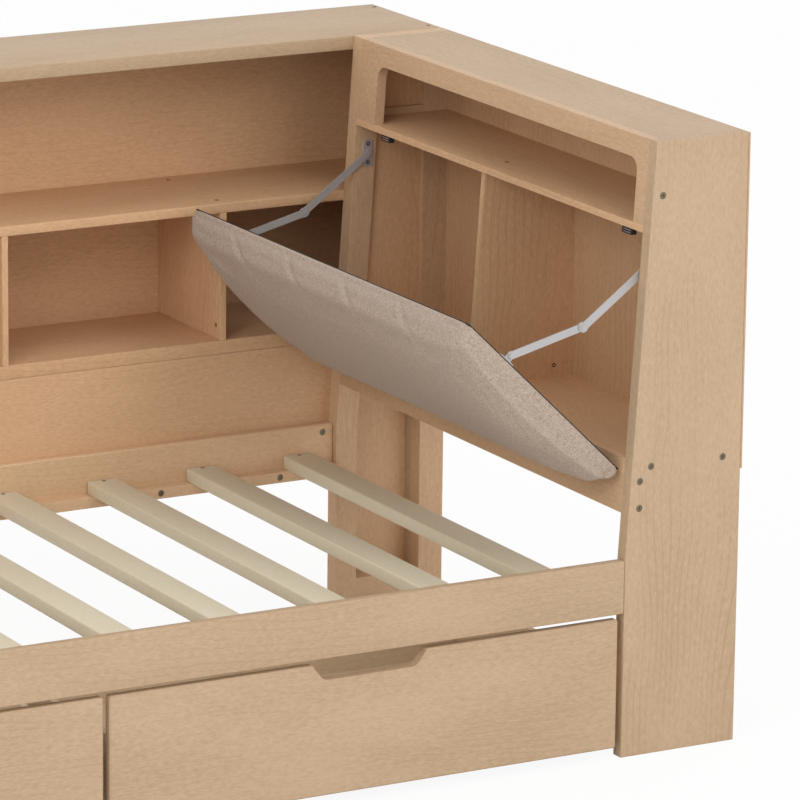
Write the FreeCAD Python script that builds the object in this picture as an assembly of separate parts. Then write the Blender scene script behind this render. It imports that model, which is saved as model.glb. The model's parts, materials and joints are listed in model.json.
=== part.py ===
"""Corner daybed with two bookcases, a padded headboard flap on folding stays, and two rolling drawers.

Millimetres. X runs along the bed towards the headboard, Y from the open front to the bookcase, Z up.
The origin is the middle of the footprint, on the floor. The flap stands at its open stop.
"""
import FreeCAD, Part
import math
import os

V = FreeCAD.Vector

# Mattress and the room around it
MATTRESS_LENGTH = 1905.0
MATTRESS_WIDTH = 990.0
MATTRESS_PLAY_LENGTH = 12.0
MATTRESS_PLAY_WIDTH = 6.0

# Board thicknesses
PANEL_T = 25.0
RAIL_T = 18.0
SHELF_T = 18.0
THIN_T = 12.0
SKIN_T = 3.0
FRAME_T = 30.0
EDGE = 0.8
SOFT_EDGE = 2.5

# Overall heights and depths
HEIGHT = 1048.0
HEAD_DEPTH = 222.0
CASE_DEPTH = 258.0
HEAD_LEAN = 45.0
RAIL_TOP = 343.0
RAIL_HEIGHT = 92.0

# Back bookcase, with its levels as shares of the height above the rails
CASE_SHELF_SHARE = 0.602
CASE_FLOOR_SHARE = 0.247
CASE_BAYS = 5
CASE_END_T = 18.0
LEG_LAP = 10.0

# Slats and their ledges
SLAT_WIDTH = 57.5
SLAT_T = 24.0
SLAT_COUNT = 10
SLAT_END_MARGIN = 75.0
SLAT_PLAY = 2.0
CLEAT_WIDTH = 22.0
CLEAT_HEIGHT = 20.0

# Headboard, with its levels as shares of the height above the rails
STILE_WIDTH = 43.0
WALL_STILE_WIDTH = 49.0
FRAME_RAIL_HEIGHT = 40.0
FRAME_FOOT_GAP = 9.0
FRAME_PANEL_T = 6.0
FRAME_PANEL_RECESS = 10.0
FRAME_GROOVE = 9.0
MID_RAIL_RISE = 13.0
HEAD_SHELF_SHARE = 0.796
FASCIA_T = 18.0
FASCIA_BAND = 37.5
FASCIA_LEG_FRONT = 32.0
FASCIA_LEG_REAR = 65.0
OPENING_RADIUS = 24.0
HEAD_FLOOR_SHARE = 0.24
APRON_HEIGHT = 68.0
HEAD_DIVIDER_Y = 552.0
HEAD_DIVIDER_SETBACK = 6.0
BACK_LAP = 12.0

# Bolts with sunk heads
BOLT_HEAD_R = 6.2
BOLT_SINK = 2.0
BOLT_HEAD_T = 3.0
BOLT_SOCKET_R = 3.0
BOLT_SOCKET_DEPTH = 1.6
APRON_BOLT_PITCH = 46.0
FLOOR_BOLT_MARGIN = 36.0
CLEAT_BOLTS = 8
RAIL_BOLT_MARGIN = 22.0
RAIL_BOLT_DROP = 14.0

# Flap
FLAP_OPEN_ANGLE = 43.8
HINGE_RISE = 3.0
HINGE_STANDOFF = 3.5
KNUCKLE_R = 3.0
HINGE_PIN_R = 1.5
HINGE_PIN_PLAY = 0.05
LEAF_T = 1.2
LEAF_WIDTH = 18.0
HINGE_LENGTH = 70.0
HINGE_KNUCKLES = 3
HINGE_MARGIN = 110.0
HINGE_COUNT = 3
KNUCKLE_PLAY = 0.4
FLAP_START = 5.0
FLAP_LAP = 4.0
FLAP_SIDE_GAP = 6.0
BACKING_T = 2.5
FLAP_BOARD_T = 12.0
FLAP_BOARD_INSET = 6.0
CUSHION_EDGE_T = 36.0
CUSHION_CROWN = 72.0
CUSHION_DRAW_IN = 5.0
CUSHION_SHOULDER = 26.0
CUSHION_END_ROUND = 24.0
CUSHION_STATIONS = 9

# Folding stays
STAY_PIN_X = 58.0
STAY_PIN_DROP = 53.0
STAY_UPPER_SHARE = 0.551
STAY_BEND = 22.3
STAY_WIDTH = 13.0
STAY_T = 2.5
STAY_PLAY = 0.4
STAY_KNUCKLE_R = 8.5
STAY_PIN_R = 3.0
STAY_PIN_PLAY = 0.05
STAY_HEAD_R = 4.6
STAY_HEAD_T = 1.2
MOUNT_WIDTH = 18.0
MOUNT_HEIGHT = 48.0
BRACKET_SHARE = 0.75
BRACKET_RISE = 12.0
BRACKET_FOOT = 20.0
BRACKET_LENGTH = 30.0

# Magnetic catches and their strike plates
CATCH_LENGTH = 30.0
CATCH_HEIGHT = 10.0
CATCH_DEPTH = 10.0
CATCH_MARGIN_FRONT = 31.5
CATCH_MARGIN_REAR = 95.0
CATCH_PROUD = 1.8
STRIKE_T = 1.2
STRIKE_LENGTH = 26.0
STRIKE_HEIGHT = 9.0

# Drawers
DRAWER_COUNT = 2
DRAWER_GAP = 11.0
DRAWER_FLOOR_GAP = 19.0
DRAWER_TOP_GAP = 8.5
DRAWER_DEPTH = 500.0
DRAWER_FRONT_T = 18.0
DRAWER_BOX_INSET = 16.0
DRAWER_BOX_TOP = 165.0
DRAWER_BOTTOM_T = 5.0
DRAWER_BOTTOM_RISE = 8.0
DRAWER_GROOVE = 5.0
NOTCH_TOP = 213.0
NOTCH_BOTTOM = 172.0
NOTCH_DEPTH = 27.0
NOTCH_RADIUS = 20.0

# Drawer casters
WHEEL_R = 15.0
WHEEL_WIDTH = 14.0
AXLE_R = 3.0
AXLE_PLAY = 0.05
FORK_WALL = 3.0
FORK_PLAY = 0.6
FORK_LENGTH = 40.0
FORK_PLATE_T = 3.0
FORK_HEADROOM = 9.0
FORK_DROP = 7.0
CASTER_MARGIN = 55.0

# Worked-out places
inner_length = MATTRESS_LENGTH + MATTRESS_PLAY_LENGTH
inner_width = MATTRESS_WIDTH + MATTRESS_PLAY_WIDTH
length = PANEL_T + inner_length + HEAD_DEPTH + SKIN_T
width = RAIL_T + inner_width + RAIL_T + CASE_DEPTH
x_wall = length / 2
x_back = x_wall - SKIN_T
x_edge = x_back - HEAD_DEPTH
x_foot = x_edge - inner_length
x_left = -length / 2
y_front = -width / 2
y_case = y_front + 2 * RAIL_T + inner_width
y_wall = width / 2
y_end = y_front + PANEL_T
y_frame = y_case - FRAME_T
case_back_y = y_wall - THIN_T
rail_bottom = RAIL_TOP - RAIL_HEIGHT
cleat_top = rail_bottom + CLEAT_HEIGHT
above_rails = HEIGHT - RAIL_TOP
case_shelf_top = RAIL_TOP + CASE_SHELF_SHARE * above_rails
case_floor_top = RAIL_TOP + CASE_FLOOR_SHARE * above_rails
head_shelf_top = RAIL_TOP + HEAD_SHELF_SHARE * above_rails
head_floor_top = RAIL_TOP + HEAD_FLOOR_SHARE * above_rails
head_floor_bottom = head_floor_top - PANEL_T
apron_bottom = head_floor_bottom - APRON_HEIGHT
head_shelf_bottom = head_shelf_top - THIN_T
top_bottom = HEIGHT - PANEL_T
lean = math.atan2(HEAD_LEAN, above_rails)
hinge_z = head_floor_bottom + HINGE_RISE
flap_end = (head_shelf_bottom - hinge_z) / math.cos(lean) + FLAP_LAP
bracket_at = flap_end * BRACKET_SHARE
box_bottom = 2 * WHEEL_R + FORK_HEADROOM + FORK_PLATE_T


def board(x0, x1, y0, y1, z0, z1, edge=EDGE):
    """A squared board between two corners, with its edges eased."""
    shape = Part.makeBox(x1 - x0, y1 - y0, z1 - z0, V(x0, y0, z0))
    return shape.makeChamfer(edge, shape.Edges)


def plate_xz(points, y0, y1):
    """A plate cut to an outline of (x, z) corners, from y0 to y1."""
    wire = Part.makePolygon([V(x, y0, z) for x, z in points + points[:1]])
    return Part.Face(wire).extrude(V(0, y1 - y0, 0))


def rod_y(x, z, radius, y0, y1):
    return Part.makeCylinder(radius, y1 - y0, V(x, y0, z), V(0, 1, 0))


def rod_x(y, z, radius, x0, x1):
    return Part.makeCylinder(radius, x1 - x0, V(x0, y, z), V(1, 0, 0))


def lean_x(z):
    """Where the headboard's bed-side face stands at a height."""
    return x_edge + max(0.0, z - RAIL_TOP) * math.tan(lean)


def leaning_strip(z0, z1, y0, y1, depth, setback=0.0):
    """A board that follows the leaning face from z0 to z1, measured level."""
    near = [(lean_x(z0) + setback, z0), (lean_x(z1) + setback, z1)]
    far = [(x + depth, z) for x, z in reversed(near)]
    return plate_xz(near + far, y0, y1)


def save(name, *solids):
    shape = solids[0] if len(solids) == 1 else Part.makeCompound(list(solids))
    shape.exportStep("parts/" + name + ".step")
    state = "valid" if shape.isValid() else "BROKEN"
    print(name, len(shape.Solids), round(shape.Volume / 1000), "cm3", state)


def bolt(base, direction):
    """A sunk round bolt head with a hexagon socket; base is on the board's face, direction points out."""
    floor = base - direction * (BOLT_SINK + BOLT_HEAD_T)
    head = Part.makeCylinder(BOLT_HEAD_R, BOLT_HEAD_T, floor, direction)
    side = direction.cross(V(1, 0, 0) if abs(direction.x) < 0.5 else V(0, 0, 1))
    top = floor + direction * BOLT_HEAD_T
    turn = FreeCAD.Rotation(direction, 60)
    corners = [top + side * BOLT_SOCKET_R]
    for _ in range(6):
        corners.append(top + turn.multVec(corners[-1] - top))
    socket = Part.Face(Part.makePolygon(corners)).extrude(direction * -BOLT_SOCKET_DEPTH)
    return head.cut(socket)


def sink(base, direction):
    """The hole that a bolt head sits in, cut a little past the board's face."""
    past = BOLT_SINK
    start = base - direction * (BOLT_SINK + BOLT_HEAD_T)
    return Part.makeCylinder(BOLT_HEAD_R, BOLT_SINK + BOLT_HEAD_T + past, start, direction)


def end_panel_bolts():
    """Bolt places on the front end panel: into the fascia, the compartment floor and the apron."""
    fascia_z = (head_shelf_top + HEIGHT - FASCIA_BAND) / 2
    floor_z = head_floor_bottom + PANEL_T / 2
    apron_z = head_floor_bottom - APRON_HEIGHT / 2
    places = [
        (lean_x(fascia_z) + FASCIA_T, fascia_z),
        (lean_x(floor_z) + FLOOR_BOLT_MARGIN, floor_z),
        (x_back - FLOOR_BOLT_MARGIN, floor_z),
        (lean_x(apron_z) + RAIL_T, apron_z + APRON_BOLT_PITCH / 2),
        (lean_x(apron_z) + RAIL_T, apron_z - APRON_BOLT_PITCH / 2),
    ]
    return [V(x, y_front, z) for x, z in places]


def rear_rail_bolts():
    """Bolt places on the rear rail's and the rear cleat's front faces."""
    rail_face = y_case - RAIL_T
    cleat_face = rail_face - CLEAT_WIDTH
    rail_z = RAIL_TOP - RAIL_BOLT_DROP
    cleat_z = rail_bottom + CLEAT_HEIGHT / 2
    ends = [x_foot + RAIL_BOLT_MARGIN, x_edge - RAIL_BOLT_MARGIN]
    places = [V(x, rail_face, rail_z) for x in ends]
    pitch = inner_length / CLEAT_BOLTS
    for index in range(CLEAT_BOLTS):
        places.append(V(x_foot + (index + 0.5) * pitch, cleat_face, cleat_z))
    return places


def make_bookcase():
    inner_left = x_left + CASE_END_T
    inner_right = x_wall - CASE_END_T
    floor_bottom = case_floor_top - PANEL_T
    shelf_bottom = case_shelf_top - SHELF_T
    save("case_top", board(x_left, x_wall, y_case, y_wall, top_bottom, HEIGHT))
    middle_shelf = board(inner_left, inner_right, y_case, case_back_y, shelf_bottom, case_shelf_top)
    save("case_middle_shelf", middle_shelf)
    bottom_shelf = board(inner_left, inner_right, y_case, case_back_y, floor_bottom, case_floor_top)
    save("case_bottom_shelf", bottom_shelf)
    pitch = (inner_right - inner_left + THIN_T) / CASE_BAYS
    dividers = []
    for index in range(1, CASE_BAYS):
        x = inner_left + index * pitch - THIN_T
        dividers.append(board(x, x + THIN_T, y_case, case_back_y, case_floor_top, shelf_bottom))
    save("case_dividers", *dividers)
    save("case_back", board(inner_left, inner_right, case_back_y, y_wall, floor_bottom, top_bottom))
    lower_right = x_edge + STILE_WIDTH
    lower_panel = board(inner_left, lower_right, y_case, y_case + PANEL_T, rail_bottom, floor_bottom)
    save("case_lower_panel", lower_panel)
    save(
        "case_ends",
        board(x_left, inner_left, y_case, y_wall, 0, top_bottom),
        board(inner_right, x_wall, y_case, y_wall, 0, top_bottom),
    )
    post_left = x_back - WALL_STILE_WIDTH
    save("case_corner_post", board(post_left, inner_right, y_case, y_case + PANEL_T, 0, floor_bottom))
    leg_y = y_case + PANEL_T
    leg_left = lower_right - LEG_LAP
    save("case_leg_panel", board(leg_left, inner_right, leg_y, leg_y + THIN_T, FRAME_FOOT_GAP, floor_bottom))


def make_base():
    rail = board(x_foot, x_edge, y_front, y_front + RAIL_T, rail_bottom, RAIL_TOP, SOFT_EDGE)
    save("front_rail", rail)
    rear = board(x_foot, x_edge, y_case - RAIL_T, y_case, rail_bottom, RAIL_TOP, SOFT_EDGE)
    front_cleat_y = y_front + RAIL_T
    rear_cleat_y = y_case - RAIL_T - CLEAT_WIDTH
    front_cleat = board(x_foot, x_edge, front_cleat_y, front_cleat_y + CLEAT_WIDTH, rail_bottom, cleat_top)
    rear_cleat = board(x_foot, x_edge, rear_cleat_y, rear_cleat_y + CLEAT_WIDTH, rail_bottom, cleat_top)
    for place in rear_rail_bolts():
        rear = rear.cut(sink(place, V(0, -1, 0)))
        rear_cleat = rear_cleat.cut(sink(place, V(0, -1, 0)))
    save("rear_rail", rear)
    save("cleats", front_cleat, rear_cleat)
    save("foot_panel", board(x_left, x_foot, y_front, y_case, 0, RAIL_TOP, SOFT_EDGE))
    pitch = (inner_length - 2 * SLAT_END_MARGIN) / (SLAT_COUNT - 1)
    slat_y0 = y_front + RAIL_T + SLAT_PLAY
    slat_y1 = y_case - RAIL_T - SLAT_PLAY
    for index in range(SLAT_COUNT):
        x = x_edge - SLAT_END_MARGIN - index * pitch
        half = SLAT_WIDTH / 2
        slat = board(x - half, x + half, slat_y0, slat_y1, cleat_top, cleat_top + SLAT_T, SOFT_EDGE)
        save("slat_" + str(index + 1), slat)


def end_outline():
    """The headboard's side outline: upright to the rails, then leaning back to the top."""
    return [(x_edge, 0), (x_back, 0), (x_back, HEIGHT), (lean_x(HEIGHT), HEIGHT), (x_edge, RAIL_TOP)]


def make_head_ends():
    panel = plate_xz(end_outline(), y_front, y_end)
    outline_edges = [e for e in panel.Edges if e.Vertexes[0].Point.y < y_front + EDGE
                     and e.Vertexes[1].Point.y < y_front + EDGE]
    panel = panel.makeFillet(SOFT_EDGE, outline_edges)
    for place in end_panel_bolts():
        panel = panel.cut(sink(place, V(0, -1, 0)))
    save("head_end_front", panel)

    stile_outline = [(x_edge, 0), (x_edge, RAIL_TOP), (lean_x(HEIGHT), HEIGHT)]
    stile_outline += [(x + STILE_WIDTH, z) for x, z in reversed(stile_outline)]
    stile = plate_xz(stile_outline, y_frame, y_case)
    wall_stile = Part.makeBox(WALL_STILE_WIDTH, FRAME_T, HEIGHT, V(x_back - WALL_STILE_WIDTH, y_frame, 0))
    inner_right = x_back - WALL_STILE_WIDTH
    panel_y = y_frame + FRAME_PANEL_RECESS
    mid_top = head_shelf_top + MID_RAIL_RISE
    levels = [
        (FRAME_FOOT_GAP, FRAME_FOOT_GAP + FRAME_RAIL_HEIGHT, y_case + PANEL_T),
        (apron_bottom, head_floor_top, y_case),
        (mid_top - FRAME_RAIL_HEIGHT, mid_top, panel_y),
        (HEIGHT - PANEL_T - FRAME_RAIL_HEIGHT, HEIGHT, y_case),
    ]
    rails = []
    for low, high, rear in levels:
        corners = [(lean_x(low) + STILE_WIDTH, low), (inner_right, low),
                   (inner_right, high), (lean_x(high) + STILE_WIDTH, high)]
        rails.append(plate_xz(corners, y_frame, rear))
    let_low = head_floor_top - FRAME_GROOVE
    let_high = HEIGHT - PANEL_T - FRAME_RAIL_HEIGHT + FRAME_GROOVE
    let_in = plate_xz(
        [(lean_x(let_low) + STILE_WIDTH - FRAME_GROOVE, let_low), (inner_right + FRAME_GROOVE, let_low),
         (inner_right + FRAME_GROOVE, let_high), (lean_x(let_high) + STILE_WIDTH - FRAME_GROOVE, let_high)],
        panel_y, panel_y + FRAME_PANEL_T)
    save("head_stile_bed", stile.cut(let_in))
    save("head_stile_wall", wall_stile.cut(let_in))
    save("head_frame_rails", *[rail.cut(let_in) for rail in rails])
    save("head_frame_panel", let_in)


def make_head_boards():
    top_edge = lean_x(top_bottom) + FASCIA_T
    top = plate_xz(
        [(top_edge, top_bottom), (x_back, top_bottom), (x_back, HEIGHT), (lean_x(HEIGHT) + FASCIA_T, HEIGHT)],
        y_end, y_frame)
    save("head_top", top)

    fascia = leaning_strip(head_shelf_top, HEIGHT, y_end, y_frame, FASCIA_T)
    opening_top = HEIGHT - FASCIA_BAND
    below = head_shelf_top - OPENING_RADIUS
    hole_depth = HEAD_DEPTH
    opening = Part.makeBox(
        hole_depth, y_frame - FASCIA_LEG_REAR - y_end - FASCIA_LEG_FRONT, opening_top - below,
        V(x_edge - EDGE, y_end + FASCIA_LEG_FRONT, below))
    round_edges = [e for e in opening.Edges
                   if abs(e.Vertexes[0].Point.z - opening_top) < EDGE
                   and abs(e.Vertexes[1].Point.z - opening_top) < EDGE
                   and abs(e.Vertexes[0].Point.x - e.Vertexes[1].Point.x) > EDGE]
    save("head_fascia", fascia.cut(opening.makeFillet(OPENING_RADIUS, round_edges)))

    shelf = plate_xz(
        [(lean_x(head_shelf_bottom), head_shelf_bottom), (x_back, head_shelf_bottom),
         (x_back, head_shelf_top), (lean_x(head_shelf_top), head_shelf_top)], y_end, y_frame)
    save("head_shelf", shelf)
    divider_y = y_front + HEAD_DIVIDER_Y
    divider = plate_xz(
        [(lean_x(head_floor_top) + HEAD_DIVIDER_SETBACK, head_floor_top), (x_back, head_floor_top),
         (x_back, head_shelf_bottom), (lean_x(head_shelf_bottom) + HEAD_DIVIDER_SETBACK, head_shelf_bottom)],
        divider_y, divider_y + THIN_T)
    save("head_divider", divider)
    floor = plate_xz(
        [(lean_x(head_floor_bottom), head_floor_bottom), (x_back, head_floor_bottom),
         (x_back, head_floor_top), (lean_x(head_floor_top), head_floor_top)], y_end, y_frame)
    save("head_floor", floor)
    save("head_apron", leaning_strip(apron_bottom, head_floor_bottom, y_end, y_frame, RAIL_T))
    back_bottom = head_floor_bottom - BACK_LAP
    save("head_back", board(x_back, x_wall, y_front, y_case, back_bottom, HEIGHT, EDGE))


def make_bolts():
    places = end_panel_bolts() + rear_rail_bolts()
    save("bolts", *[bolt(place, V(0, -1, 0)) for place in places])


def flap_place():
    """The flap's own frame: x from the hinge along the flap, y as the bed's, z out of the cushion."""
    angle = math.radians(FLAP_OPEN_ANGLE)
    c, s = math.cos(angle), math.sin(angle)
    hinge = V(lean_x(hinge_z) - HINGE_STANDOFF, 0, hinge_z)
    matrix = FreeCAD.Matrix(-c, 0, -s, hinge.x, 0, 1, 0, 0, s, 0, -c, hinge.z, 0, 0, 0, 1)
    return FreeCAD.Placement(matrix)


def placed(shape):
    copy = shape.copy()
    copy.Placement = flap_place()
    return copy


def cushion_section(y, fullness, inset):
    """One cross-section: flat under, sides drawn in at the board, and a crown in three arcs."""
    x0 = FLAP_START + inset
    x1 = flap_end - inset
    z0 = BACKING_T
    side = z0 + CUSHION_EDGE_T / 2 * fullness
    shoulder = z0 + (CUSHION_EDGE_T + CUSHION_CROWN) / 2 * fullness
    top = z0 + CUSHION_CROWN * fullness
    rise = (side + 2 * shoulder) / 3
    a, b = V(x0 + CUSHION_DRAW_IN, y, z0), V(x0, y, side)
    c, d = V(x0 + CUSHION_SHOULDER, y, shoulder), V(x1 - CUSHION_SHOULDER, y, shoulder)
    e, f = V(x1, y, side), V(x1 - CUSHION_DRAW_IN, y, z0)
    edges = [
        Part.makeLine(f, a),
        Part.makeLine(a, b),
        Part.Arc(b, V(x0 + CUSHION_SHOULDER / 3, y, rise), c).toShape(),
        Part.Arc(c, V((x0 + x1) / 2, y, top), d).toShape(),
        Part.Arc(d, V(x1 - CUSHION_SHOULDER / 3, y, rise), e).toShape(),
        Part.makeLine(e, f),
    ]
    return Part.Wire(edges)


def make_cushion(y0, y1, core):
    """The padded cover: cross-sections that swell in from both ends, set closest at the ends."""
    wires = []
    for index in range(CUSHION_STATIONS):
        along = (1 - math.cos(math.pi * index / (CUSHION_STATIONS - 1))) / 2
        from_end = min(along, 1 - along) * (y1 - y0)
        shrink = math.exp(-from_end / CUSHION_END_ROUND)
        wires.append(cushion_section(y0 + along * (y1 - y0), 1 - shrink / 2, CUSHION_END_ROUND / 2 * shrink))
    save("flap_cushion", placed(Part.makeLoft(wires, True, True).cut(core)))


def make_flap():
    y0 = y_end + FLAP_SIDE_GAP
    y1 = y_frame - FLAP_SIDE_GAP
    x0, x1 = FLAP_START, flap_end
    backing = Part.makeBox(x1 - x0, y1 - y0, BACKING_T, V(x0, y0, 0))
    save("flap_backing", placed(backing))
    inset = FLAP_BOARD_INSET + CUSHION_DRAW_IN
    core = Part.makeBox(
        x1 - x0 - 2 * inset, y1 - y0 - 2 * inset, FLAP_BOARD_T, V(x0 + inset, y0 + inset, BACKING_T))
    save("flap_board", placed(core))
    make_cushion(y0, y1, core)
    make_hinges(y0, y1)
    make_flap_fittings()


def make_hinges(y0, y1):
    """Butt hinges: odd knuckles and the fixed leaf stay on the floor's edge, even ones go with the flap."""
    fixed = []
    moving = []
    hinge = flap_place().Base
    step = HINGE_LENGTH / HINGE_KNUCKLES
    pitch = (y1 - y0 - 2 * HINGE_MARGIN) / (HINGE_COUNT - 1)
    bore = HINGE_PIN_R + HINGE_PIN_PLAY
    for index in range(HINGE_COUNT):
        start = y0 + HINGE_MARGIN + index * pitch - HINGE_LENGTH / 2
        fixed_leaf = leaning_strip(
            hinge_z, hinge_z + LEAF_WIDTH, start, start + HINGE_LENGTH, LEAF_T, -LEAF_T)
        moving_leaf = Part.makeBox(LEAF_WIDTH, HINGE_LENGTH, LEAF_T, V(KNUCKLE_R, start, -LEAF_T))
        moving_leaf.Placement = flap_place()
        fixed_knuckles = []
        moving_knuckles = []
        for part in range(HINGE_KNUCKLES):
            low = start + part * step + KNUCKLE_PLAY / 2
            high = low + step - KNUCKLE_PLAY
            tube = rod_y(hinge.x, hinge.z, KNUCKLE_R, low, high)
            (moving_knuckles if part % 2 else fixed_knuckles).append(tube)
        clear = rod_y(hinge.x, hinge.z, KNUCKLE_R + KNUCKLE_PLAY, start, start + HINGE_LENGTH)
        pin = rod_y(hinge.x, hinge.z, HINGE_PIN_R, start, start + HINGE_LENGTH)
        hole = rod_y(hinge.x, hinge.z, bore, start, start + HINGE_LENGTH)
        fixed_web = leaning_strip(
            hinge_z - KNUCKLE_R / 2, hinge_z + KNUCKLE_R, start, start + HINGE_LENGTH,
            HINGE_STANDOFF, -HINGE_STANDOFF)
        webs = []
        for tube in fixed_knuckles:
            ends = tube.BoundBox.YMin, tube.BoundBox.YMax
            webs.append(fixed_web.common(rod_y(hinge.x, hinge.z, KNUCKLE_R + LEAF_T, *ends)))
        fixed.append(fixed_leaf.cut(clear).fuse(fixed_knuckles + webs + [pin]).removeSplitter())
        web = Part.makeBox(KNUCKLE_R + LEAF_T, HINGE_LENGTH, LEAF_T, V(0, start, -LEAF_T))
        web.Placement = flap_place()
        joins = []
        for tube in moving_knuckles:
            ends = tube.BoundBox.YMin, tube.BoundBox.YMax
            joins.append(web.common(rod_y(hinge.x, hinge.z, 2 * KNUCKLE_R, *ends)))
        moving.append(moving_leaf.cut(clear).fuse(moving_knuckles + joins).cut(hole).removeSplitter())
    save("hinge_leaves_fixed", *fixed)
    save("hinge_leaves_flap", *moving)


def make_flap_fittings():
    """On the flap's inner face: a bracket for each stay, and a strike plate for each catch."""
    brackets = []
    for face, way in stay_sides():
        ear = stay_layer(face, way, 3)
        near, far = (ear[0], ear[0] + BRACKET_FOOT) if way > 0 else (ear[1] - BRACKET_FOOT, ear[1])
        foot = Part.makeBox(
            BRACKET_LENGTH, far - near, STAY_T, V(bracket_at - BRACKET_LENGTH / 2, near, -STAY_T))
        stem = Part.makeBox(
            STAY_WIDTH, STAY_T, BRACKET_RISE, V(bracket_at - STAY_WIDTH / 2, ear[0], -BRACKET_RISE))
        eye = rod_y(bracket_at, -BRACKET_RISE, STAY_WIDTH / 2, ear[0], ear[1])
        pin = headed_pin(bracket_at, -BRACKET_RISE, stay_layer(face, way, 2), ear)
        brackets.append(placed(foot.fuse([stem, eye, pin]).removeSplitter()))
    strikes = []
    centre_z = head_shelf_bottom - CATCH_HEIGHT / 2
    along = (centre_z - hinge_z) / math.cos(lean)
    for y0, y1 in catch_places():
        strike_y = (y0 + y1 - STRIKE_LENGTH) / 2
        strikes.append(placed(Part.makeBox(
            STRIKE_HEIGHT, STRIKE_LENGTH, STRIKE_T, V(along - STRIKE_HEIGHT / 2, strike_y, -STRIKE_T))))
    save("flap_fittings", *brackets, *strikes)


def catch_places():
    front = y_end + CATCH_MARGIN_FRONT
    rear = y_frame - CATCH_MARGIN_REAR
    return [(front, front + CATCH_LENGTH), (rear - CATCH_LENGTH, rear)]


def make_catches():
    low = head_shelf_bottom - CATCH_HEIGHT
    catches = []
    for y0, y1 in catch_places():
        catches.append(leaning_strip(low, head_shelf_bottom, y0, y1, CATCH_DEPTH, -CATCH_PROUD))
    save("head_catches", *catches)


def stay_sides():
    """The faces that carry the stays, with the way into the compartment."""
    return [(y_end, 1), (y_frame, -1)]


def stay_layer(face, way, index):
    """Stay plates stack off the end's face: mount, upper arm, lower arm, flap bracket."""
    near = face + way * index * (STAY_T + STAY_PLAY)
    return tuple(sorted([near, near + way * STAY_T]))


def stay_points():
    """Top pin, elbow and flap pin at the open stop, in the X-Z plane."""
    top = V(x_edge + STAY_PIN_X, 0, head_shelf_bottom - STAY_PIN_DROP)
    low = flap_place().multVec(V(bracket_at, 0, -BRACKET_RISE))
    reach = (low - top).Length
    bend = math.radians(STAY_BEND)
    upper = reach * STAY_UPPER_SHARE
    lower = math.sqrt(reach ** 2 - (upper * math.sin(bend)) ** 2) - upper * math.cos(bend)
    turn = math.asin(lower * math.sin(bend) / reach)
    line = math.atan2(low.z - top.z, low.x - top.x)
    elbow = top + V(math.cos(line + turn), 0, math.sin(line + turn)) * upper
    return top, elbow, low


def headed_pin(x, z, arm, anchor):
    """A pin that stands on its anchor plate, passes through an arm, and ends in a head beyond it."""
    way = 1 if arm[0] > anchor[0] else -1
    far = arm[1] if way > 0 else arm[0]
    root = anchor[0] if way > 0 else anchor[1]
    pin = rod_y(x, z, STAY_PIN_R, *sorted([root, far]))
    return pin.fuse(rivet(x, z, far, way))


def rivet(x, z, y, way):
    return rod_y(x, z, STAY_HEAD_R, *sorted([y, y + way * STAY_HEAD_T]))


def stay_arm(pin, elbow, layer):
    """A flat arm with round ends, wider at the elbow, drilled for its pin at the other end."""
    side = V(pin.z - elbow.z, 0, elbow.x - pin.x).normalize() * (STAY_WIDTH / 2)
    corners = [pin + side, elbow + side, elbow - side, pin - side]
    arm = plate_xz([(p.x, p.z) for p in corners], *layer)
    eye = rod_y(pin.x, pin.z, STAY_WIDTH / 2, *layer)
    knuckle = rod_y(elbow.x, elbow.z, STAY_KNUCKLE_R, *layer)
    hole = rod_y(pin.x, pin.z, STAY_PIN_R + STAY_PIN_PLAY, *layer)
    return arm.fuse([eye, knuckle]).removeSplitter().cut(hole)


def make_stays():
    top, elbow, low = stay_points()
    mounts = []
    uppers = []
    lowers = []
    for face, way in stay_sides():
        plate_y, upper_y, lower_y = [stay_layer(face, way, index) for index in range(3)]
        plate = Part.makeBox(
            MOUNT_WIDTH, STAY_T, MOUNT_HEIGHT,
            V(top.x - MOUNT_WIDTH / 2, plate_y[0], top.z - MOUNT_HEIGHT / 2))
        corners = [e for e in plate.Edges if abs(e.tangentAt(e.FirstParameter).y) > 0.9]
        plate = plate.makeFillet(MOUNT_WIDTH / 3, corners)
        mounts.append(plate.fuse(headed_pin(top.x, top.z, upper_y, plate_y)).removeSplitter())
        outside = upper_y[0] if way > 0 else upper_y[1]
        inside = lower_y[1] if way > 0 else lower_y[0]
        uppers.append(stay_arm(top, elbow, upper_y).fuse(rivet(elbow.x, elbow.z, outside, -way)))
        lowers.append(stay_arm(low, elbow, lower_y).fuse(rivet(elbow.x, elbow.z, inside, way)))
    save("stay_mounts", *mounts)
    save("stay_upper_arms", *uppers)
    save("stay_lower_arms", *lowers)


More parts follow.
